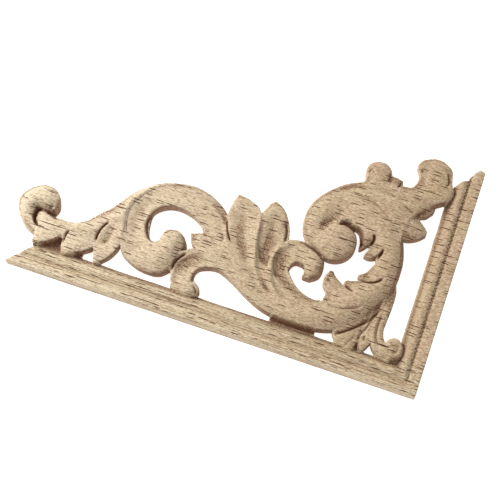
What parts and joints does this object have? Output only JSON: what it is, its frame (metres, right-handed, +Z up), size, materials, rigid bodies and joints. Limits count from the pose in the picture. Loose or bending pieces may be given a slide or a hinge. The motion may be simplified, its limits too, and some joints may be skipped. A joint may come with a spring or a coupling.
{
  "type": "wooden corner onlay",
  "caption": "Carved wooden corner onlay: two moulded rails mitred at a right angle with a pierced scroll and leaves between them, flat back.",
  "frame": {"origin": "middle of the bounding box, on the flat back it lies on", "axes": "+X along the long rail towards the mitred corner, +Y along the short rail away from the long one, +Z up out of the carved face"},
  "size_m": [0.2258, 0.129, 0.0098],
  "materials": {
    "wood": "raw sanded hardwood"
  },
  "bodies": {
    "root": {"corner_onlay": "wood"}
  },
  "joints": []
}
